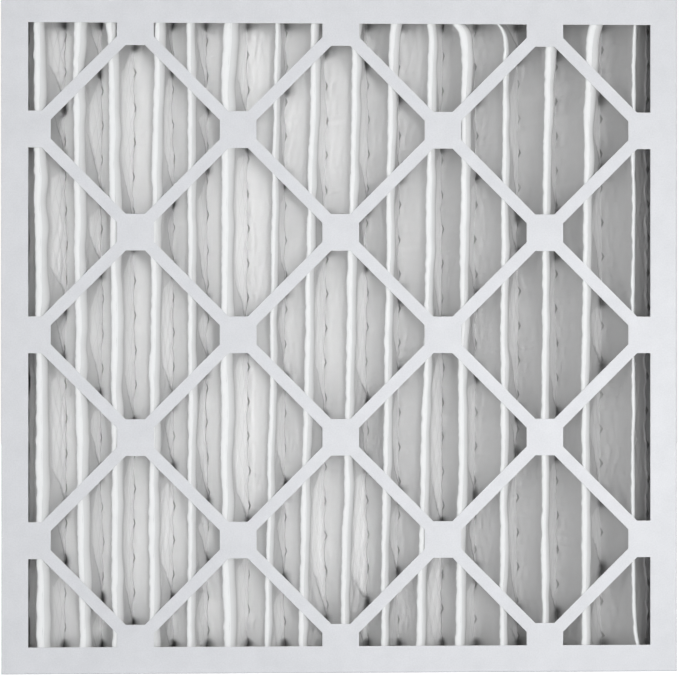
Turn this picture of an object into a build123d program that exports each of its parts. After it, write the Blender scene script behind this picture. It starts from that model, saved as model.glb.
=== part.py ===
from build123d import *
import math
import os

# Disposable pleated panel air filter, nominal 20 x 20 x 2 inch.
# Millimetres. X is the width, Y the air direction (air enters at -Y), Z is up.
# The origin is the middle of the bottom edge that the filter stands on.

# Frame
frame_width = 495.3
frame_height = 495.3
frame_depth = 44.45
board = 0.7             # thickness of the die-cut paperboard
crease_radius = 1.2     # outside radius of a fold in the board
corner_gap = 0.15       # hairline between a wall and the corner tab glued under it
front_wall_depth = 43.2  # of the outer tray, whose walls stop just short of the air-leaving face
rear_wall_depth = 38.0  # of the inner tray, whose walls reach towards the air-entering face

# Corner tabs, folded in from the ends of the side walls
tab_length = 30.0
tab_relief = 1.6        # how far a tab is cut back from the crease of the face
tab_taper = 4.0         # how much narrower each edge of a tab is at its free end

# Diagonal lattice, cut in each face
border_width = 19.75
lattice_pitch = 150.0   # from one window to the next in its row
strip_width = 9.0
pad_width = 26.8        # square pad where two strips cross
smallest_window = 15.0  # a clipped window narrower than this isn't cut

# Pleated filter media
pleat_count = 17
media_thickness = 3.0   # also the outside radius of a fold, whose inside is a sharp crease
end_seal = 0.8          # glue between the ends of the pleats and the corner tabs
side_seal_depth = 9.0   # of the glue bead down each side wall

# Expanded metal support grid, bonded to the air-leaving side of the media
grid_thickness = 0.4
strand_width = 1.2
diamond_length = 50.8   # along the pleats; across them each diamond spans one pleat

# Sizes that follow
window_flat = (lattice_pitch - pad_width) / 2
window_reach = (lattice_pitch - strip_width * math.sqrt(2)) / 2
rear_width = frame_width - 2 * board
rear_height = frame_height - 4 * board - 2 * corner_gap
pack_width = rear_width - 2 * board
pack_height = rear_height - 4 * board - 2 * corner_gap - 2 * end_seal
front_tip = board - frame_depth / 2
rear_tip = frame_depth / 2 - board - grid_thickness
front_crease = front_tip + media_thickness
rear_crease = rear_tip - media_thickness
half_pitch = pack_width / pleat_count / 2


def leg_angle():
    """Angle between a leg of a pleat and the air direction."""
    run = rear_crease - front_crease
    span = math.hypot(half_pitch, run)
    return math.acos(media_thickness / span) - math.atan2(run, half_pitch)


theta = leg_angle()
blunt = (1 - math.sin(theta)) / math.cos(theta)   # half width of a squared fold, per unit of its radius


# ---------------------------------------------------------------- board trays

def windows(width, height, border):
    """All the lattice windows of a face, clipped by its border."""
    opening = Rectangle(width - 2 * border, height - 2 * border)
    corner = window_reach - window_flat
    diamond = Polygon(
        (window_flat, corner),
        (corner, window_flat),
        (-corner, window_flat),
        (-window_flat, corner),
        (-window_flat, -corner),
        (-corner, -window_flat),
        (corner, -window_flat),
        (window_flat, -corner),
        align=None,
    )
    step = lattice_pitch / 2
    columns = int(width / 2 / step) + 1
    rows = int(height / 2 / step) + 1
    cuts = Sketch()
    for i in range(-columns, columns + 1):
        for j in range(-rows, rows + 1):
            if (i + j) % 2:
                continue
            window = Pos(i * step, j * step) * diamond & opening
            size = window.bounding_box().size if window.faces() else Vector(0, 0, 0)
            if min(size.X, size.Y) > smallest_window:
                cuts += window
    return cuts


def tab(length, wall_depth):
    """A corner tab, flat in XY, with its crease on the Y axis."""
    outline = Polygon(
        (0, board + tab_relief),
        (length, board + tab_relief + tab_taper),
        (length, wall_depth - tab_relief - tab_taper),
        (0, wall_depth - tab_relief),
        align=None,
    )
    return extrude(outline, board)


def tray(width, height, wall_depth, border):
    """A face with four folded walls. The face lies at Y = 0 and the walls run towards +Y."""
    outside = Box(width, wall_depth, height, align=(Align.CENTER, Align.MIN, Align.CENTER))
    outside = fillet(outside.faces().sort_by(Axis.Y)[0].edges(), crease_radius)
    inside = Pos(0, board, 0) * Box(
        width - 2 * board,
        wall_depth,
        height - 2 * board,
        align=(Align.CENTER, Align.MIN, Align.CENTER),
    )
    inside = fillet(inside.faces().sort_by(Axis.Y)[0].edges(), crease_radius - board)
    shell = outside - inside
    face_cut = extrude(Plane.XZ * windows(width, height, border), -2 * board, both=True)
    shell -= face_cut

    # the hairline where each side wall ends under the top or bottom wall
    slot = Box(width, wall_depth, corner_gap, align=(Align.CENTER, Align.MIN, Align.MIN))
    slot -= Box(
        width - 2 * board,
        3 * wall_depth,
        3 * corner_gap,
    )
    tab_level = height / 2 - board - corner_gap
    tabs = []
    for side in (1, -1):
        for end in (1, -1):
            low = tab_level - board if end > 0 else -tab_level
            piece = tab(tab_length, wall_depth)
            if side > 0:
                piece = mirror(piece, Plane.YZ)
            tabs.append(Pos(side * (width / 2 - board), 0, low) * piece)
    for end in (1, -1):
        low = tab_level if end > 0 else -tab_level - corner_gap
        shell -= Pos(0, crease_radius, low) * slot
    for piece in tabs:
        shell += piece
    return shell


def front_tray():
    """Outer tray, on the air-entering side."""
    return Pos(0, -frame_depth / 2, 0) * tray(frame_width, frame_height, front_wall_depth, border_width)


def rear_tray():
    """Inner tray, pushed into the outer one from the air-leaving side."""
    inset = (frame_width - rear_width) / 2
    shell = tray(rear_width, rear_height, rear_wall_depth, border_width - inset)
    return Pos(0, frame_depth / 2, 0) * Rot(0, 0, 180) * shell


# ------------------------------------------------------------- pleated media

def fold_x(index):
    return index * half_pitch - pack_width / 2


def side_of_strip(rounded_at_front):
    """Edges of one side of the pleated strip, from left to right.

    Even folds touch the air-entering face and odd folds the air-leaving one. Each fold is round
    on its outside and creased on its inside, so each side of the strip is round at every other fold.
    """
    edges = []
    last = 2 * pleat_count
    first_level = front_tip if rounded_at_front else front_crease
    start = Vector(fold_x(0), first_level)
    for index in range(last + 1):
        at_front = index % 2 == 0
        crease = Vector(fold_x(index), front_crease if at_front else rear_crease)
        if at_front != rounded_at_front:
            if index > 0:
                edges.append(Line(start, crease))
            start = crease
            continue
        facing = -1 if at_front else 1
        tip = crease + Vector(0, facing * media_thickness)
        side = Vector(media_thickness * math.cos(theta), facing * media_thickness * math.sin(theta))
        left = crease + Vector(-side.X, side.Y)
        right = crease + side
        if index > 0:
            edges.append(Line(start, left))
        if index == 0:
            edges.append(quarter_fold(crease, right))
        elif index == last:
            edges.append(quarter_fold(crease, left))
        else:
            edges.append(ThreePointArc(left, tip, right))
        start = right
    return edges


def quarter_fold(crease, end):
    """Half of a front fold, from its tip to one end of its arc, for the ends of the strip."""
    half_turn = (math.pi / 2 - theta) / 2
    sign = 1 if end.X > crease.X else -1
    middle = crease + Vector(sign * math.sin(half_turn), -math.cos(half_turn)) * media_thickness
    tip = crease + Vector(0, -media_thickness)
    return ThreePointArc(tip, middle, end)


def pleated_media():
    """One strip of non-woven media, folded to and fro, with its end legs cut at the side walls."""
    front_edges = side_of_strip(True)
    rear_edges = side_of_strip(False)
    ends = [
        Line((fold_x(0), front_tip), (fold_x(0), front_crease)),
        Line((fold_x(2 * pleat_count), front_tip), (fold_x(2 * pleat_count), front_crease)),
    ]
    section = make_face(front_edges + rear_edges + ends)
    return Pos(0, 0, -pack_height / 2) * extrude(section, pack_height)


def developed_length():
    """Length of the middle of the strip when it is pulled flat."""
    leg = math.sqrt(half_pitch**2 + (rear_crease - front_crease) ** 2 - media_thickness**2)
    bend = media_thickness / 2 * (math.pi - 2 * theta)
    return 2 * pleat_count * (leg + bend)


# -------------------------------------------------------------- support grid

def grid_side(lift):
    """Corners of one side of the folded grid; lift is the distance from the media."""
    corners = []
    for index in range(2 * pleat_count + 1):
        if index % 2 == 0:
            corners.append((fold_x(index), front_crease + lift / math.sin(theta)))
            continue
        half = (media_thickness + lift) * blunt
        corners.append((fold_x(index) - half, rear_tip + lift))
        corners.append((fold_x(index) + half, rear_tip + lift))
    return corners


def grid_openings():
    """Diamonds between the strands, seen along the air direction.

    Their corners lie on the folds, where the strands meet. The grid is squared off over each
    rear fold, and so are the diamonds that are centred there.
    """
    rear_half = media_thickness * blunt
    leg_width = half_pitch - rear_half
    leg_length = leg_width / math.sin(theta)
    slope = math.atan2(diamond_length / 2, leg_length)
    rise = diamond_length / 2 - strand_width / 2 / math.cos(slope)
    point = leg_width * (strand_width / 2 / math.sin(slope)) / leg_length
    reach = leg_width - point
    front_diamond = Polygon((0, rise), (-reach, 0), (0, -rise), (reach, 0), align=None)
    rear_diamond = Polygon(
        (rear_half, rise),
        (-rear_half, rise),
        (-rear_half - reach, 0),
        (-rear_half, -rise),
        (rear_half, -rise),
        (rear_half + reach, 0),
        align=None,
    )
    shapes = []
    rows = int(pack_height / diamond_length / 2) + 2
    for index in range(2 * pleat_count + 1):
        at_front = index % 2 == 0
        diamond = front_diamond if at_front else rear_diamond
        shift = 0 if at_front else diamond_length / 2
        for row in range(-rows, rows + 1):
            level = row * diamond_length + shift
            if abs(level) < (pack_height + diamond_length) / 2:
                shapes.append(Pos(fold_x(index), level) * diamond)
    return shapes


def support_grid():
    """Expanded metal, folded with the media; it stops at the glue beads beside the side walls."""
    section = make_face(Polyline(*grid_side(0), *reversed(grid_side(grid_thickness)), close=True))
    trim = seal_width() + grid_thickness
    section &= Rectangle(pack_width - 2 * trim, 2 * frame_depth)
    sheet = Pos(0, 0, -pack_height / 2) * extrude(section, pack_height)
    cutters = [extrude(Plane.XZ * shape, frame_depth / 2, both=True) for shape in grid_openings()]
    strands = sheet.cut(*cutters)
    return strands.solids().sort_by(SortBy.VOLUME)[-1]   # loose offcuts at the corners fall away


# ------------------------------------------------------------------- sealing

def end_seals(trays):
    """Glue between the ends of the pleats and the inside of the inner tray, top and bottom."""
    wall = rear_height / 2 - board
    thickness = wall - pack_height / 2
    depth = rear_tip + grid_thickness - front_tip
    slab = Box(pack_width, depth, thickness, align=(Align.CENTER, Align.MIN, Align.MIN))
    top = Pos(0, front_tip, pack_height / 2) * slab
    bottom = Pos(0, front_tip, -wall) * slab
    return top - trays, bottom - trays


def seal_width():
    """Width of a side bead at its open end, where the last leg has moved away from the wall."""
    return side_seal_depth * math.tan(theta)


def side_seal():
    """Bead in the wedge between the last leg and the side wall, on the left."""
    wall = -pack_width / 2
    finish = front_crease + side_seal_depth
    outline = Polygon(
        (wall, front_crease),
        (wall + seal_width(), finish),
        (wall, finish),
        align=None,
    )
    return Pos(0, 0, -pack_height / 2) * extrude(outline, pack_height)


os.makedirs("parts", exist_ok=True)

front = front_tray()
rear = rear_tray()
top_seal, bottom_seal = end_seals(rear)
left_seal = side_seal()

pieces = {
    "front_tray": front,
    "rear_tray": rear,
    "pleated_media": pleated_media(),
    "support_grid": support_grid(),
    "top_end_seal": top_seal,
    "bottom_end_seal": bottom_seal,
    "left_side_seal": left_seal,
    "right_side_seal": mirror(left_seal, Plane.YZ),
}

print("media strip", round(developed_length(), 1), "x", round(pack_height, 1))
for name, shape in pieces.items():
    export_step(Pos(0, 0, frame_height / 2) * shape, f"parts/{name}.step")
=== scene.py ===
import bpy
import math
import numpy as np
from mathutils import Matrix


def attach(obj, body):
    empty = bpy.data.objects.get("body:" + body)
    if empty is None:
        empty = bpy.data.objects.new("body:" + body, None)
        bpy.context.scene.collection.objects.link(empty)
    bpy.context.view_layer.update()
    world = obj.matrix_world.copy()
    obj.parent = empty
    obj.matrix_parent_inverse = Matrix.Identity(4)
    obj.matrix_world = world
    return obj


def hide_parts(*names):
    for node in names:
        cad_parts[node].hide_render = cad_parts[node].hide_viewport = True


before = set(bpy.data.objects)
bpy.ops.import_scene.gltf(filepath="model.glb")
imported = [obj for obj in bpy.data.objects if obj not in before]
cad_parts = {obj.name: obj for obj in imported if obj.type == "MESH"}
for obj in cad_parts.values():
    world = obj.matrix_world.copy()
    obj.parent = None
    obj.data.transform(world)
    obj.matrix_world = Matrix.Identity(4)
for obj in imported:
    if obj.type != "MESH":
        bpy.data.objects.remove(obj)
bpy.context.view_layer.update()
mm = 0.001
scene = bpy.context.scene
scene.view_settings.view_transform = "Standard"
print("frame loaded")

# the flat front of the panel, as it was cut, mm
panel = {
    "middle": 247.65,         # height of the centre above the floor
    "faceY": -22.225,         # front face of the board
    "windowReach": 227.9,     # half of the field that has windows
    "pitch": 150.0,           # lattice lines, measured level
    "strip": 9.0,             # width of the lattice strips
    "pad": 26.8,              # side of the square pads where they cross
}


def boardGap(x, level):
    # distance in the face from a point to the nearest strip, pad or border; below zero on board
    pitch = panel["pitch"]
    half = pitch / 2
    rise = np.mod(x + level, pitch) - half
    fall = np.mod(x - level, pitch) - half
    strips = np.minimum(np.abs(rise), np.abs(fall)) / math.sqrt(2) - panel["strip"] / 2
    # the strips cross where both counts are whole and a half
    i = np.round((x + level) / pitch - 0.5) + 0.5
    j = np.round((x - level) / pitch - 0.5) + 0.5
    aside = np.maximum(np.abs(x - (i + j) * half), np.abs(level - (i - j) * half))
    border = panel["windowReach"] - np.maximum(np.abs(x), np.abs(level))
    return np.minimum(np.minimum(strips, aside - panel["pad"] / 2), border)


def step(low, high, value):
    # 0 below low, 1 above high, a smooth S between
    t = np.clip((value - low) / (high - low), 0, 1)
    return t * t * (3 - 2 * t)


# the folded cloth, mm; lists go from the left crest or valley to the right one
pleats = {
    "height": 487.5,
    "crestY": -21.4,          # where the crests press on the board
    "valley": 40.9,           # depth of the valley crease behind the crests
    "cloth": 1.6,             # thickness where it is drawn tight over the folds
    "legAngle": 17.2,         # degrees between a leg and the air stream
    "wall": 246.2,            # the outer legs end on the side walls
    "wallFront": 0.3,         # depth of those ends, on the front of the cloth and on its back
    "wallRear": 10.4,
    "rows": 270,
    "rearRows": 40,
    # left edge of each crest at mid height
    "edge": [-222.6, -193.8, -167.6, -139.0, -111.6, -87.5, -51.5, -26.1,
             4.5, 32.5, 61.3, 87.4, 117.7, 148.2, 177.6, 214.0],
    # how far it leans to the right at the top, and bows to the right at both ends
    "lean": [-1.6, -2.5, -1.6, 2.2, 0, -0.3, 3.7, 4.9, 4.7, 3.2, 4.9, 2.5, 1.5, 1.3, 1.6, 0],
    "bow": [-0.4, 1.4, -0.9, 1.2, -1, 2, -0.8, 0.1, -0.4, -0.1, -1.4, -1, 1.3, 1.7, 2.0, 1.0],
    # it turns aside under the top border, a few curl over at the very top
    "hook": [0, 0, -5, 1.5, 0, 0.7, 1, 0, 1, 1, -1, 2, 2.5, 3.5, 2.5, 2],
    "curl": [0, 0, 0, 0, 0, 0, 0, 0, 0, 1, -1.5, -8.5, -8, 0, 1.5, 0],
    # and the last steps aside just over the bottom border
    "foot": [0, 0, 0, 0, 0, 0, 0, 0, 0, 0, 0, 0, 0, 0, 0, 3.2],
    "hookFade": 14,           # each dies away over this height
    "curlFade": 6,
    "curlStart": 1,           # above the windows
    "footFade": 14,
    # width of the rounded crest, and the share by which it flares towards the top
    "width": [9, 8.3, 8, 7.2, 6.2, 8.8, 5.2, 6.6, 6.6, 6.0, 6.6, 6.8, 6.1, 5.8, 6.6, 3.0],
    "flare": [-0.2, 0, 0, 0, 0, 0.2, -0.2, 0, 0.1, 0.4, 0, 0.45, -0.4, 0.5, 0.6, 0],
    "flareFade": 55,
    "valleyX": [-231.8, -203.6, -176.6, -152.7, -123.5, -98.1, -68.2, -40.2, -9.9,
                21.3, 44.7, 77.6, 102.3, 134.2, 162.9, 197.0, 231.8],
    # height of one pressed mark in each valley, and how far the valley shifts at it
    "mark": [6, 4, 16, 3.6, 17, 1, 17, 8, 20, 21, 9, 16.5, 9, 22, 9, 22, 10],
    "markPitch": 25.85,
    "markShift": 0.5,
    # crests swell where they stand free in a window and sink where the board presses them
    "swell": 0.55,
    "sink": 0.25,
    "freeGap": 9,
    "bumpDepth": 2,           # and wander in and out where the profile is shallower than this
    # the sharp crease at the back of a crest: its depth, half width and height,
    # and where it lies as a share of the width of the crest
    "creaseDepth": 5.5,
    "creaseWidth": 0.5,
    "creaseHeight": 1.6,
    "creasePlace": 0.48,
    "arcPoints": 5,           # round the back of each valley
}
# where points lie on a leg, as shares of the way from its crest to its valley
legShares = [0.24, 0.5, 0.76]
foldShares = [0.9, 0.97]
creaseShares = [-1.0, -0.7, -0.4, -0.13, 0.13, 0.4, 0.7, 1.0]
# crest profile from left to right: share of its width, depth in mm, how white it is (bunched cloth,
# with a painted highlight that fades on the right flank), how little light it lets through, and how
# much painted shade it has (a painted shadow just right of the crest)
crestShape = [
    (-0.05, 2.9, 0.0, 0.6, 0.1),
    (0.0, 1.1, 0.85, 1, 0),
    (0.06, 0.3, 1.0, 1, 0),
    (0.3, 0.0, 1.0, 1, 0),
    (0.58, 0.4, 0.85, 1, 0),
    (0.86, 1.7, 0.45, 1, 0),
    (1.06, 4.6, 0.0, 1, 0.5),
    (1.0, 10.0, 0.0, 0.5, 0.3),
]
tornShares = (0.05, 0.5)      # the left edge is torn, less and less over these shares
# how much light is kept out of the folds, 0 to 1, and how much shade is painted on them
dim = {
    "firstFall": 0.5,         # legs of the first pleat, beside the side wall
    "firstRise": 0.4,
    "wallEdge": 0.5,
    "lastFall": 0.5,
    "fold": 0.35,             # just before a valley
    "valley": 0.75,
    # painted shade along each valley crease, and a painted shadow where the rear board lies on the
    # valley
    "valleyShade": 0.22,
    "pinnedShade": 0.9,       # where the rear board lies on the valley
    "pinnedGap": (-1.5, 2.5),
    "pinnedShares": (0.6, 0.96),
    "rearFold": 0.55,
}
# random wander: spacing of its knots and amount in mm, and the seed of the first fold
wander = {
    "crest": (31, 0.5, 10),
    "crestFine": (7.5, 0.16, 40),
    "tear": (2.4, 0.32, 70),
    "tearLong": (5.2, 0.28, 90),
    "valley": (45, 0.9, 110),
    "valleyFine": (3.6, 0.4, 140),
    "valleyDepth": (9, 0.25, 170),
    "falling": (38, 0.9, 200),
    "fallingFine": (13, 0.35, 1200),
    "rising": (38, 0.9, 300),
    "risingFine": (13, 0.35, 1300),
    "width": (17, 0.1, 400),
    "bump": (5, 0.18, 430),
}


def drift(kind, n, z):
    # random values at even spacing, joined by half cosine waves
    spacing, amount, seed = wander[kind]
    rng = np.random.default_rng(seed + n)
    place = (z - z.min()) / spacing
    low = np.floor(place).astype(int)
    knots = rng.uniform(-1, 1, low.max() + 3)
    blend = (1 - np.cos(np.pi * (place - low))) / 2
    return amount * (knots[low] * (1 - blend) + knots[low + 1] * blend)


def crestLines(z):
    # left edge of each crest: lean times t, plus bow times t squared, plus bends that die away
    # from the top or the bottom as exponentials, plus two random wanders
    level = z - panel["middle"]
    half = pleats["height"] / 2
    t = level / half
    curlStart = panel["windowReach"] + pleats["curlStart"]
    bends = {
        "hook": (half - level) / pleats["hookFade"],
        "curl": np.maximum(curlStart - level, 0) / pleats["curlFade"],
        "foot": np.maximum(panel["windowReach"] + level, 0) / pleats["footFade"],
    }
    lines = []
    for n, edge in enumerate(pleats["edge"]):
        x = edge + pleats["lean"][n] * t + pleats["bow"][n] * t * t
        for name, away in bends.items():
            x = x + pleats[name][n] * np.exp(-away)
        lines.append(x + drift("crest", n, z) + drift("crestFine", n, z))
    return lines


def valleyLines(z):
    # each valley wanders a little, and shifts aside as a cosine that peaks at every pressed mark
    lines = []
    for n, place in enumerate(pleats["valleyX"]):
        shift = np.cos(2 * np.pi * (z - pleats["mark"][n]) / pleats["markPitch"])
        x = place + drift("valley", n, z) + pleats["markShift"] * shift
        lines.append(x + drift("valleyFine", n, z))
    return lines


def buckle(leg, n, share, z):
    # a leg isn't quite flat: a sine of the share of its length, times a random wander up it
    return np.sin(np.pi * share) * (drift(leg, n, z) + drift(leg + "Fine", n, z))


def frontSheet(z):
    # front of the cloth, columns across the panel and rows up it. On a leg x and depth run straight
    # from fold to fold with its buckle added; a crest is its profile times its own width.
    # Each column also has its whiteness, how little light it lets through, and the shade painted on
    # it.
    level = z - panel["middle"]
    crests, valleys = crestLines(z), valleyLines(z)
    columns = []

    def put(x, depth, white=0.0, shut=0.0, shade=0.0):
        columns.append([value * np.ones_like(z) for value in (x, depth, white, shut, shade)])

    # painted shade on the cloth's edge at the side wall
    put(-pleats["wall"], pleats["wallFront"], shade=dim["wallEdge"])
    for n, valley in enumerate(valleys):
        first, last = n == 0, n == len(valleys) - 1
        fromX, fromD = columns[-1][:2]
        deep = pleats["valley"] + drift("valleyDepth", n, z)
        # light is shut out where the rear board lies on the valley, and its shadow is painted there
        pinned = (1 - step(*dim["pinnedGap"], boardGap(valley, level))) * (not last)
        for share in legShares + foldShares:
            tip = pinned * step(*dim["pinnedShares"], share)
            # the legs beside the side walls are kept dark, with painted shade
            dark = dim["firstFall"] * first + dim["lastFall"] * (last and share in legShares)
            fold = dim["fold"] * (share == foldShares[-1])
            x = fromX + (valley - fromX) * share + buckle("falling", n, share, z)
            put(x, fromD + (deep - fromD) * share, shut=np.maximum(tip, max(dark, fold)),
                shade=np.maximum(dim["pinnedShade"] * tip, dark))
        # painted shade along the valley crease, and the rear board's painted shadow where it is
        # pinned
        put(valley, deep, shut=np.maximum(dim["valley"], pinned),
            shade=np.maximum(dim["valleyShade"] * (not last), pinned))
        if last:
            toX, toD = pleats["wall"], pleats["wallFront"]
        else:
            higher = np.exp((level - panel["windowReach"]) / pleats["flareFade"])
            width = pleats["width"][n] * (1 + drift("width", n, z) + pleats["flare"][n] * higher)
            toX, toD = crests[n] + crestShape[0][0] * width, crestShape[0][1]
        for share in foldShares[::-1] + legShares[::-1]:
            tip = pinned * step(*dim["pinnedShares"], share)
            dark = dim["firstRise"] * first
            x = toX + (valley - toX) * share + buckle("rising", n, share, z)
            put(x, toD + (deep - toD) * share, shut=np.maximum(tip, dark),
                shade=np.maximum(dim["pinnedShade"] * tip, dark))
        if last:
            put(toX, toD)
            break
        free = step(0, pleats["freeGap"], boardGap(crests[n] + width / 2, level))
        rise = pleats["swell"] * free - pleats["sink"]
        nick = drift("tear", n, z) + drift("tearLong", n, z)
        for share, depth, white, shut, shade in crestShape:
            torn = nick * (1 - step(*tornShares, abs(share)))
            bump = drift("bump", n, z) * (depth < pleats["bumpDepth"])
            put(crests[n] + width * share + torn, depth - rise + bump, white, shut, shade)
    return [np.array(part).T for part in zip(*columns)]


def rearSheet(z):
    # back of the same folds: straight legs, an arc of the cloth's thickness round each valley,
    # and behind each crest a crease whose height grows with the distance from its middle
    crests, valleys = crestLines(z), valleyLines(z)
    thick, angle = pleats["cloth"], math.radians(pleats["legAngle"])
    turns = np.radians(np.linspace(-1, 1, pleats["arcPoints"]) * (90 - pleats["legAngle"]))
    columns = []

    def put(x, depth, shut=0.0):
        columns.append([value * np.ones_like(z) for value in (x, depth, shut)])

    put(-pleats["wall"], pleats["wallRear"])
    for n, valley in enumerate(valleys):
        last = n == len(valleys) - 1
        fromX, fromD = columns[-1][:2]
        if last:
            toX, toD = pleats["wall"], pleats["wallRear"]
        else:
            toX = crests[n] + pleats["creasePlace"] * pleats["width"][n]
            toD = pleats["creaseDepth"]
        offX, endD = thick * math.cos(angle), pleats["valley"] + thick * math.sin(angle)
        for share in legShares:
            x = fromX + (valley - offX - fromX) * share + buckle("falling", n, share, z)
            put(x, fromD + (endD - fromD) * share)
        for turn in turns:
            put(valley + thick * math.sin(turn), pleats["valley"] + thick * math.cos(turn),
                dim["rearFold"])
        for share in legShares[::-1]:
            x = toX + (valley + offX - toX) * share + buckle("rising", n, share, z)
            put(x, toD + (endD - toD) * share)
        if last:
            put(toX, toD)
            break
        for share in creaseShares:
            put(toX + pleats["creaseWidth"] * share, toD + pleats["creaseHeight"] * abs(share))
    return [np.array(part).T for part in zip(*columns)]


def sheetPoints(x, depth, z):
    # rows and columns to points in metres, depth measured back from the crests
    up = np.repeat(z[:, None], x.shape[1], axis=1)
    return np.stack([x, pleats["crestY"] + depth, up], axis=2).reshape(-1, 3) * mm


def gridFaces(rows, cols, start, turned):
    # four corners of every cell of a grid of points, turned over for a grid that faces back
    r, c = np.meshgrid(np.arange(rows - 1), np.arange(cols - 1), indexing="ij")
    a = start + r * cols + c
    quads = np.stack([a, a + 1, a + 1 + cols, a + cols], axis=-1).reshape(-1, 4)
    return quads[:, ::-1] if turned else quads


def newPiece(name, points, faces, smooth=True):
    mesh = bpy.data.meshes.new(name)
    mesh.from_pydata(points.tolist(), [], [list(map(int, face)) for face in faces])
    mesh.validate()
    mesh.polygons.foreach_set("use_smooth", np.full(len(mesh.polygons), smooth))
    mesh.update()
    piece = bpy.data.objects.new(name, mesh)
    scene.collection.objects.link(piece)
    return piece


def pointValues(piece, name, values):
    # one number for every point, which the material reads by name
    layer = piece.data.attributes.new(name, "FLOAT", "POINT")
    layer.data.foreach_set("value", values.astype(np.float32).ravel())


def clothPlaces(x, depth, z):
    # for every point, in mm: how far along the unfolded strip it is, how far past the nearest
    # valley, and how high above that valley's mark. Front and back have as many points to a pleat.
    middle = len(z) // 2
    run = np.hypot(np.diff(x[middle]), np.diff(depth[middle]))
    along = np.concatenate([[0], np.cumsum(run)])
    perPleat = 2 * len(legShares) + 2 * len(foldShares) + 1 + len(crestShape)
    valleys = len(pleats["valleyX"])
    place = 1 + len(legShares) + len(foldShares) + perPleat * np.arange(valleys)
    nearest = np.round((np.arange(len(along)) - place[0]) / perPleat)
    nearest = np.clip(nearest, 0, valleys - 1).astype(int)
    gap = along - along[place[nearest]]
    # around the last valley every place counts as past it, where there are no creases
    gap = np.where(nearest == valleys - 1, np.abs(gap), gap)
    above = z[:, None] - np.array(pleats["mark"])[nearest][None, :]
    return np.tile(along, (len(z), 1)), np.tile(gap, (len(z), 1)), above


def makeMedia():
    rows, rearRows = pleats["rows"], pleats["rearRows"]
    low = panel["middle"] - pleats["height"] / 2
    frontZ = np.linspace(low, low + pleats["height"], rows)
    rearZ = np.linspace(low, low + pleats["height"], rearRows)
    frontX, frontD, white, shut, shade = frontSheet(frontZ)
    rearX, rearD, rearShut = rearSheet(rearZ)
    cols = frontX.shape[1]
    points = np.vstack([sheetPoints(frontX, frontD, frontZ), sheetPoints(rearX, rearD, rearZ)])
    back = rows * cols
    topFront = (rows - 1) * cols
    topRear = back + (rearRows - 1) * cols
    c = np.arange(cols - 1)
    faces = list(gridFaces(rows, cols, 0, False))
    faces += list(gridFaces(rearRows, cols, back, True))
    faces += list(np.stack([back + c, back + c + 1, c + 1, c], axis=1))
    faces += list(np.stack([topFront + c, topFront + c + 1, topRear + c + 1, topRear + c], axis=1))
    # each end of the strip is one flat face against the side wall
    upFront = np.arange(rows) * cols
    downRear = back + np.arange(rearRows)[::-1] * cols
    faces.append(np.concatenate([upFront, downRear]))
    faces.append(np.concatenate([upFront, downRear])[::-1] + cols - 1)
    piece = newPiece("pleatedMedia", points, faces)

    fronts = clothPlaces(frontX, frontD, frontZ)
    rears = clothPlaces(rearX, rearD, rearZ)
    for name, front, rear in zip(("along", "fromValley", "fromMark"), fronts, rears):
        pointValues(piece, name, np.concatenate([front.ravel(), rear.ravel()]) * mm)
    none = np.zeros_like(rearShut)
    for name, front, rear in (("crest", white, none), ("shut", shut, rearShut),
                              ("shade", shade, none)):
        pointValues(piece, name, np.concatenate([front.ravel(), rear.ravel()]))
    return piece


media = makeMedia()
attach(media, "root")
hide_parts("pleated_media")
print("pleated media made")

# expanded metal behind the pleats, mm
lattice = {
    "long": 25.85,            # diamond's long way, up the panel
    "across": 12.7,           # and its short way, along the folded strip
    "wires": 232,             # wavy strands across the strip, two to each diamond
    "width": 0.9,
    "thick": 0.36,
    "lift": 0.04,             # between the cloth and the metal
    "end": 0.6,               # it stops short of the cloth's ends,
    "side": 2.0,              # and of its sides
    "overlap": 0.36,          # of the width at each knuckle
    "slope": 0.4,             # run over which the cloth's direction is taken
}


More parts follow.
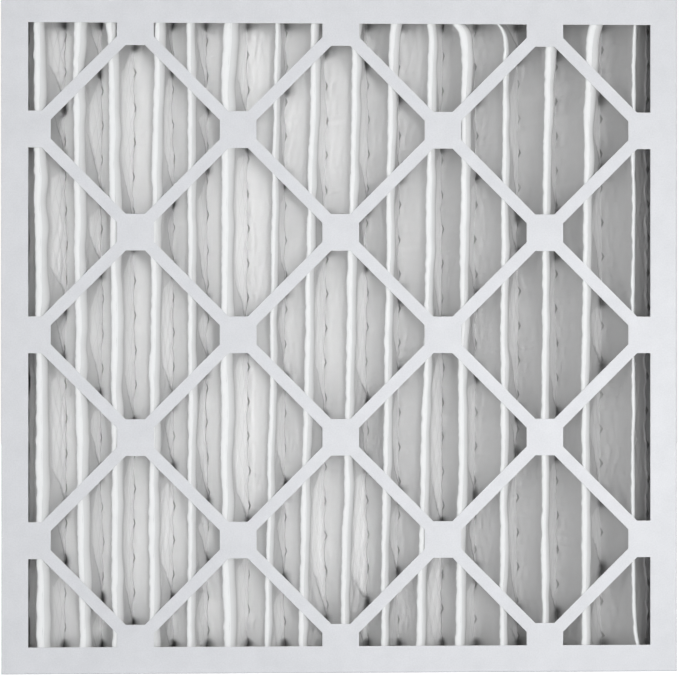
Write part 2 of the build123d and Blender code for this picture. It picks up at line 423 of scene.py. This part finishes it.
def makeLattice():
    # strands whose run along the strip swings from side to side as they climb, half a diamond out
    # of step with their neighbours, and touch them at every knuckle
    low = panel["middle"] - pleats["height"] / 2 + lattice["end"]
    high = panel["middle"] + pleats["height"] / 2 - lattice["end"]
    z = np.arange(low, high, lattice["long"] / 4)
    rearX, rearD, _ = rearSheet(z)
    middle = len(z) // 2
    run = np.hypot(np.diff(rearX[middle]), np.diff(rearD[middle]))
    run = np.concatenate([[0], np.cumsum(run)])
    spacing = (run[-1] - 2 * lattice["side"]) / lattice["wires"]
    wires = np.arange(lattice["wires"])
    wave = np.tile([1.0, 0.0, -1.0, 0.0], len(z) // 4 + 1)[:len(z)]
    reach = spacing / 2 - lattice["width"] * lattice["overlap"]
    swing = np.where(wires % 2 == 0, 1, -1) * reach
    centre = lattice["side"] + (wires + 0.5) * spacing + wave[:, None] * swing[None, :]

    def onCloth(places):
        # x and depth of the cloth's back at these distances along the strip, row by row
        return [np.stack([np.interp(place, run, line) for place, line in zip(places, lines)])
                for lines in (rearX, rearD)]

    up = np.repeat(z[:, None], lattice["wires"], axis=1)
    corners = []
    for side, lift in ((-1, 0), (1, 0), (1, 1), (-1, 1)):
        edge = centre + side * lattice["width"] / 2
        x, depth = onCloth(edge)
        aheadX, aheadD = onCloth(edge + lattice["slope"])
        size = np.hypot(aheadX - x, aheadD - depth)
        size[size == 0] = 1
        out = (lattice["lift"] + lift * lattice["thick"]) / size
        corners.append(np.stack([x - out * (aheadD - depth),
                                 pleats["crestY"] + depth + out * (aheadX - x), up], axis=2))
    points = np.stack(corners, axis=2)
    rows, count = points.shape[:2]
    r, w = np.meshgrid(np.arange(rows - 1), np.arange(count), indexing="ij")
    base = (r * count + w) * 4
    above = base + count * 4
    faces = []
    for k, n in ((0, 1), (1, 2), (2, 3), (3, 0)):
        faces.append(np.stack([base + n, base + k, above + k, above + n], axis=-1).reshape(-1, 4))
    ends = np.arange(count)[:, None] * 4 + np.arange(4)
    faces += [ends, ends[:, ::-1] + (rows - 1) * count * 4]
    faces = np.concatenate(faces)
    return newPiece("expandedMetal", points.reshape(-1, 3) * mm, faces, smooth=False)


grid = makeLattice()
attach(grid, "root")
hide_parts("support_grid")
print("expanded metal made")


def nodeTools(tree):
    # short ways to add nodes; an input takes a plain value or another node's output
    def fill(socket, value):
        if isinstance(value, bpy.types.NodeSocket):
            tree.links.new(value, socket)
        else:
            socket.default_value = value

    def add(kind, **settings):
        node = tree.nodes.new(kind)
        for key, value in settings.items():
            if hasattr(node, key):
                setattr(node, key, value)
            else:
                fill(node.inputs[key.replace("_", " ")], value)
        return node

    def work(operation, *values, clamp=False):
        node = add("ShaderNodeMath", operation=operation, use_clamp=clamp)
        for socket, value in zip(node.inputs, values):
            fill(socket, value)
        return node.outputs[0]

    def blend(factor, first, second):
        # colours mix in one kind of node, shaders in another
        shaders = isinstance(first, bpy.types.NodeSocketShader)
        node = add("ShaderNodeMixShader") if shaders else add("ShaderNodeMix", data_type="RGBA")
        for n, value in zip((0, 1, 2) if shaders else (0, 6, 7), (factor, first, second)):
            fill(node.inputs[n], value)
        return node.outputs[0 if shaders else 2]

    return add, work, blend


def bareMaterial(name):
    material = bpy.data.materials.new(name)
    material.use_nodes = True
    material.node_tree.nodes.clear()
    return material, *nodeTools(material.node_tree)


boardFinish = {
    "face": (0.725, 0.737, 0.768, 1),
    "shade": (0.655, 0.668, 0.697, 1),
    "core": (0.86, 0.85, 0.83, 1),
    "roughness": 0.45,
    "shine": 0.6,
    "grain": {"Scale": 900.0, "Detail": 3.0, "Roughness": 0.6},
    "blotch": {"Scale": 60.0, "Detail": 4.0, "Roughness": 0.65},
    "grainShare": 0.55,
    "contrast": (3.6, -1.3),
    "bump": {"Strength": 0.10, "Distance": 0.0002},
    "cutReach": 0.229,        # cut edges lie inside this half width, metres,
    "cutFacing": 0.4,         # and face less than this to the front
}


def boardMaterial():
    material, add, work, blend = bareMaterial("coatedBoard")
    place = add("ShaderNodeTexCoord").outputs["Object"]
    grain = add("ShaderNodeTexNoise", Vector=place, **boardFinish["grain"])
    blotch = add("ShaderNodeTexNoise", Vector=place, **boardFinish["blotch"])
    mixed = work("ADD", work("MULTIPLY", grain.outputs[0], boardFinish["grainShare"]),
                 work("MULTIPLY", blotch.outputs[0], 1 - boardFinish["grainShare"]))
    spread = work("MULTIPLY_ADD", mixed, *boardFinish["contrast"], clamp=True)
    colour = blend(spread, boardFinish["shade"], boardFinish["face"])
    # the cut edges of the windows show the paper's core
    axes = add("ShaderNodeSeparateXYZ", Vector=place).outputs
    normal = add("ShaderNodeNewGeometry").outputs["Normal"]
    facing = add("ShaderNodeSeparateXYZ", Vector=normal).outputs[1]
    level = work("SUBTRACT", axes[2], panel["middle"] * mm)
    cut = work("LESS_THAN", work("ABSOLUTE", facing), boardFinish["cutFacing"])
    for distance in (axes[0], level):
        near = work("LESS_THAN", work("ABSOLUTE", distance), boardFinish["cutReach"])
        cut = work("MULTIPLY", cut, near)
    colour = blend(cut, colour, boardFinish["core"])
    bump = add("ShaderNodeBump", Height=mixed, **boardFinish["bump"])
    shader = add("ShaderNodeBsdfPrincipled", Base_Color=colour, Normal=bump.outputs[0],
                 Roughness=boardFinish["roughness"], Specular_IOR_Level=boardFinish["shine"])
    add("ShaderNodeOutputMaterial", Surface=shader.outputs[0])
    return material


# lengths in metres
mediaFinish = {
    "cloth": (0.855, 0.855, 0.855, 1),
    "thin": (0.81, 0.81, 0.81, 1),
    "bunchedAndLit": (0.945, 0.96, 0.967, 1),
    # the grey that painted shade blends towards
    "shadeGrey": (0.32, 0.32, 0.32, 1),
    "seeThrough": 0.7,        # share of light that goes on into the cloth
    "shutShare": 0.93,        # share of that which is lost where the cloth is bunched
    "roughness": 0.9,
    "shine": 0.2,
    "fibre": {"Scale": 520.0, "Detail": 6.0, "Roughness": 0.7, "Distortion": 0.8},
    "cloud": {"Scale": 70.0, "Detail": 4.0, "Roughness": 0.6},
    "fibreShare": 0.5,
    "contrast": (2.4, -0.7),
    "bump": {"Strength": 0.5, "Distance": 0.0007},
    # painted shade of the hooked dimples in the valleys: half height, half width, slant and start,
    # gain and patchiness
    "markHeight": 0.0046,
    "markWidth": 0.0025,
    "markSlant": (0.62, -0.0012),
    "markGain": 2.6,
    "markPatches": (4.0, -1.1),
    "markStrength": (0.5, 0.25),
    # painted shadow of the metal strands on the wall that falls to the right: its strength, its
    # half width as a share of a diamond, and its fade
    "strandShadow": 0.28,
    "strandWidth": 0.075,
    "strandFade": (30.0, 1.05),
    # that wall between two strips keeps its colour inside a bulging lens and takes painted shade
    # beyond it: slope of its edge above a strip and below one, widest reach, how far it starts from
    # a strip, how its edge is softened and wobbles, and the painted shade beyond it
    "creaseSlope": 0.85,
    "upperSlope": 1.5,
    "bulge": 0.034,
    "bulgeStart": 0.004,
    "bulgeSoft": 0.012,
    "bulgeWobble": (0.012, -0.006),
    "outside": 0.22,
    "outsideFade": (300.0, 0.4),
    # the crease along the lens's lower edge: a painted shade line and a bump
    "dart": 0.75,
    "dartWidth": 0.003,
    "dartFade": 0.048,
    "dartStart": 1.15,
    "dartDepth": 0.9,
}


def mediaMaterial():
    material, add, work, blend = bareMaterial("pleatedFibre")
    look = mediaFinish

    def read(name):
        return add("ShaderNodeAttribute", attribute_name=name).outputs["Fac"]

    def within(distance, reach):
        # 1 at no distance, falling evenly to 0 at the reach
        return work("SUBTRACT", 1.0, work("DIVIDE", distance, reach), clamp=True)

    gap, rise = read("fromValley"), read("fromMark")
    place = add("ShaderNodeTexCoord").outputs["Object"]
    axes = add("ShaderNodeSeparateXYZ", Vector=place).outputs
    unfolded = add("ShaderNodeCombineXYZ", X=read("along"), Y=axes[2]).outputs[0]
    fibre = add("ShaderNodeTexNoise", Vector=unfolded, **look["fibre"]).outputs[0]
    cloud = add("ShaderNodeTexNoise", Vector=unfolded, **look["cloud"]).outputs[0]
    web = work("ADD", work("MULTIPLY", fibre, look["fibreShare"]),
               work("MULTIPLY", cloud, 1 - look["fibreShare"]))
    spread = work("MULTIPLY_ADD", web, *look["contrast"], clamp=True)
    colour = blend(spread, look["thin"], look["cloth"])
    # the cloth is bunched and whiter along the crests, with a painted highlight that fades towards
    # each crest's right flank
    colour = blend(read("crest"), colour, look["bunchedAndLit"])

    # painted shade of a hooked dimple where each knuckle of the metal presses the valley
    pitch = pleats["markPitch"] * mm
    turn = work("PINGPONG", rise, pitch / 2)
    aside = work("ABSOLUTE", work("ADD", gap, work("MULTIPLY_ADD", turn, *look["markSlant"])))
    mark = work("MULTIPLY", within(turn, look["markHeight"]), within(aside, look["markWidth"]))
    patchy = work("MULTIPLY_ADD", cloud, *look["markPatches"], clamp=True)
    mark = work("MULTIPLY", work("MULTIPLY", mark, look["markGain"], clamp=True),
                work("MULTIPLY_ADD", patchy, *look["markStrength"]))

    # a faint painted shadow of the strands between the knuckles, on the wall that falls to the
    # right
    across = work("DIVIDE", gap, lattice["across"] * mm)
    upward = work("DIVIDE", rise, pitch)
    nearest = work("MINIMUM", work("PINGPONG", work("ADD", across, upward), 0.5),
                   work("PINGPONG", work("SUBTRACT", across, upward), 0.5))
    falls = work("LESS_THAN", gap, 0.0)
    onWall = work("MULTIPLY", falls, work("MULTIPLY_ADD", gap, *look["strandFade"], clamp=True))
    strandShadow = work("MULTIPLY", work("MULTIPLY", within(nearest, look["strandWidth"]), onWall),
                  look["strandShadow"])

    # height up and down to the next strips of the rear board that cross this place
    period = panel["pitch"] * mm
    level = work("SUBTRACT", axes[2], panel["middle"] * mm)
    rising = work("SUBTRACT", period / 2, work("ADD", axes[0], level))
    falling = work("SUBTRACT", work("SUBTRACT", axes[0], level), period / 2)
    rising, falling = [work("WRAP", height, period, 0.0) for height in (rising, falling)]
    up = work("MINIMUM", rising, falling)
    down = work("SUBTRACT", period, work("MAXIMUM", rising, falling))

    # between them that wall takes painted shade beyond a bulging lens, with a crease line along its
    # lower edge that is painted shade and a bump
    lower, upper = [work("MULTIPLY", work("SUBTRACT", height, look["bulgeStart"]), slope)
                    for height, slope in ((down, look["creaseSlope"]), (up, look["upperSlope"]))]
    away = work("SUBTRACT", work("MULTIPLY", gap, -1.0),
                work("MULTIPLY_ADD", cloud, *look["bulgeWobble"]))
    reach = work("SMOOTH_MIN", work("MINIMUM", lower, look["bulge"]), upper, look["bulgeSoft"])
    beyond = work("MULTIPLY_ADD", work("SUBTRACT", away, reach), *look["outsideFade"], clamp=True)
    outside = work("MULTIPLY", beyond, falls)
    line = within(work("ABSOLUTE", work("SUBTRACT", away, lower)), look["dartWidth"])
    fading = work("SUBTRACT", look["dartStart"], work("DIVIDE", down, look["dartFade"]),
                  clamp=True)
    dart = work("MULTIPLY", work("MULTIPLY", line, fading), falls)

    # painted shade: the shade the sheet carries, the knuckle dimples, the strands' shadow, the
    # crease line and the wall beyond the lens all blend the colour towards one grey
    strength = read("shade")
    for other in (mark, strandShadow, work("MULTIPLY", dart, look["dart"]),
                  work("MULTIPLY", outside, look["outside"])):
        strength = work("MAXIMUM", strength, other)
    colour = blend(strength, colour, look["shadeGrey"])
    height = work("SUBTRACT", web, work("MULTIPLY", dart, look["dartDepth"]))
    bump = add("ShaderNodeBump", Height=height, **look["bump"])
    shader = add("ShaderNodeBsdfPrincipled", Base_Color=colour, Normal=bump.outputs[0],
                 Roughness=look["roughness"], Specular_IOR_Level=look["shine"])
    glow = add("ShaderNodeBsdfTranslucent", Color=colour)
    share = work("MULTIPLY_ADD", read("shut"), -look["shutShare"] * look["seeThrough"],
                 look["seeThrough"], clamp=True)
    both = blend(share, shader.outputs[0], glow.outputs[0])
    add("ShaderNodeOutputMaterial", Surface=both)
    return material


metalFinish = {
    "dark": (0.48, 0.49, 0.50, 1),
    "light": (0.68, 0.69, 0.70, 1),
    "spangle": 160.0,
    "roughness": (0.25, 0.36),
}


def ramp(add, value, low, high):
    # an even ramp between two colours
    node = add("ShaderNodeValToRGB", Fac=value)
    node.color_ramp.elements[0].color = low
    node.color_ramp.elements[1].color = high
    return node.outputs[0]


def metalMaterial():
    material, add, work, blend = bareMaterial("galvanisedStrand")
    place = add("ShaderNodeTexCoord").outputs["Object"]
    spangle = add("ShaderNodeTexVoronoi", Vector=place, Scale=metalFinish["spangle"]).outputs
    colour = ramp(add, spangle["Color"], metalFinish["dark"], metalFinish["light"])
    roughness = work("MULTIPLY_ADD", spangle["Distance"], *metalFinish["roughness"])
    shader = add("ShaderNodeBsdfPrincipled", Metallic=1.0, Base_Color=colour,
                 Roughness=roughness)
    add("ShaderNodeOutputMaterial", Surface=shader.outputs[0])
    return material


glueFinish = {
    "dark": (0.70, 0.69, 0.64, 1),
    "light": (0.80, 0.79, 0.75, 1),
    "roughness": 0.42,
    "lumps": {"Scale": 240.0, "Detail": 3.0},
    "bump": {"Strength": 0.4, "Distance": 0.0008},
}


def glueMaterial():
    material, add, work, blend = bareMaterial("whiteGlue")
    place = add("ShaderNodeTexCoord").outputs["Object"]
    lumps = add("ShaderNodeTexNoise", Vector=place, **glueFinish["lumps"]).outputs[0]
    colour = ramp(add, lumps, glueFinish["dark"], glueFinish["light"])
    bump = add("ShaderNodeBump", Height=lumps, **glueFinish["bump"])
    shader = add("ShaderNodeBsdfPrincipled", Base_Color=colour, Normal=bump.outputs[0],
                 Roughness=glueFinish["roughness"])
    add("ShaderNodeOutputMaterial", Surface=shader.outputs[0])
    return material


def dress(piece, material):
    # every face of the piece takes the one material
    if not piece.material_slots:
        piece.data.materials.append(material)
    for slot in piece.material_slots:
        slot.material = material


board, glue = boardMaterial(), glueMaterial()
for tray in ("front_tray", "rear_tray"):
    dress(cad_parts[tray], board)
for seal in ("top_end_seal", "bottom_end_seal", "left_side_seal", "right_side_seal"):
    dress(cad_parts[seal], glue)
dress(media, mediaMaterial())
dress(grid, metalMaterial())
print("materials made")

studio = {
    "floor": (0.80, 0.80, 0.80, 1),
    "floorReach": 4.0,
    "floorDrop": 0.0002,
    "white": (1, 1, 1, 1),
    "ambient": 0.49,
    # name, place, what it looks at, width, height, power and spread in degrees of each lamp
    "lamps": [
        ("frontLamp", (0.34, -1.25, 0.12), (0, 0, 0.25), 0.4, 0.12, 4.9, 180),
        ("leftLamp", (-1.70, -2.00, 0.40), (0.05, 0, 0.25), 1.1, 0.7, 9.5, 180),
        ("sideLamp", (0.58, -1.55, 0.20), (0, 0, 0.25), 0.25, 0.4, 1.9, 180),
        ("rearLamp", (-1.00, 1.50, 0.60), (0, 0, 0.25), 0.9, 0.6, 4.0, 180),
        ("throughLamp", (-0.27, 0.62, 0.34), (-0.29, -1, 0.18), 0.74, 0.80, 4.3, 36),
    ],
    "clothLamp": "throughLamp",  # only there to shine through the cloth, and lights nothing else
}


def seenPlainly(add, work):
    # 1 for what the camera sees itself or by way of a mirror or glass
    path = add("ShaderNodeLightPath").outputs
    seen = work("ADD", path["Is Camera Ray"], path["Is Glossy Ray"])
    return work("ADD", seen, path["Is Transmission Ray"], clamp=True)


def floorPlane():
    # lit like any pale floor, but seen as white
    material, add, work, blend = bareMaterial("paleFloor")
    plain = add("ShaderNodeBsdfDiffuse", Color=studio["floor"]).outputs[0]
    white = add("ShaderNodeEmission", Color=studio["white"], Strength=1.0).outputs[0]
    bright = add("ShaderNodeAddShader")
    for n, part in enumerate((plain, white)):
        material.node_tree.links.new(part, bright.inputs[n])
    both = blend(seenPlainly(add, work), plain, bright.outputs[0])
    add("ShaderNodeOutputMaterial", Surface=both)
    corners = np.array([[-1, -1, 0], [1, -1, 0], [1, 1, 0], [-1, 1, 0]]) * studio["floorReach"]
    floor = newPiece("floor", corners - [0, 0, studio["floorDrop"]], [[0, 1, 2, 3]], smooth=False)
    dress(floor, material)


def worldLight():
    # an even room light, seen as white
    world = bpy.data.worlds.new("studioWorld")
    world.use_nodes = True
    world.node_tree.nodes.clear()
    add, work, blend = nodeTools(world.node_tree)
    room = add("ShaderNodeBackground", Color=studio["white"], Strength=studio["ambient"])
    white = add("ShaderNodeBackground", Color=studio["white"])
    both = blend(seenPlainly(add, work), room.outputs[0], white.outputs[0])
    add("ShaderNodeOutputWorld", Surface=both)
    scene.world = world


litCloth = bpy.data.collections.new("litCloth")
litCloth.objects.link(media)


def lamp(name, place, target, width, height, power, spread):
    data = bpy.data.lights.new(name, "AREA")
    data.shape = "RECTANGLE"
    data.size = width
    data.size_y = height
    data.energy = power
    data.spread = math.radians(spread)
    light = bpy.data.objects.new(name, data)
    light.location = place
    aim = np.array(target) - np.array(place)
    flat = math.hypot(aim[0], aim[1])
    light.rotation_euler = (math.atan2(flat, -aim[2]), 0, math.atan2(-aim[0], aim[1]))
    scene.collection.objects.link(light)
    if name == studio["clothLamp"]:
        light.light_linking.receiver_collection = litCloth


floorPlane()
for settings in studio["lamps"]:
    lamp(*settings)
worldLight()

lens = {
    "distance": 1.85,         # from the front face, metres
    "aside": -0.0707,
    "height": 0.24535,
    "turn": -2.16,            # degrees, to the right
    "focal": 134.1,           # mm, on a sensor 36 mm wide
    "sensor": 36,
}
cameraData = bpy.data.cameras.new("camera")
cameraData.lens = lens["focal"]
cameraData.sensor_width = lens["sensor"]
camera = bpy.data.objects.new("camera", cameraData)
camera.location = (lens["aside"], panel["faceY"] * mm - lens["distance"], lens["height"])
camera.rotation_euler = (math.radians(90), 0, math.radians(lens["turn"]))
scene.collection.objects.link(camera)
scene.camera = camera
print("camera, lamps and stage made")
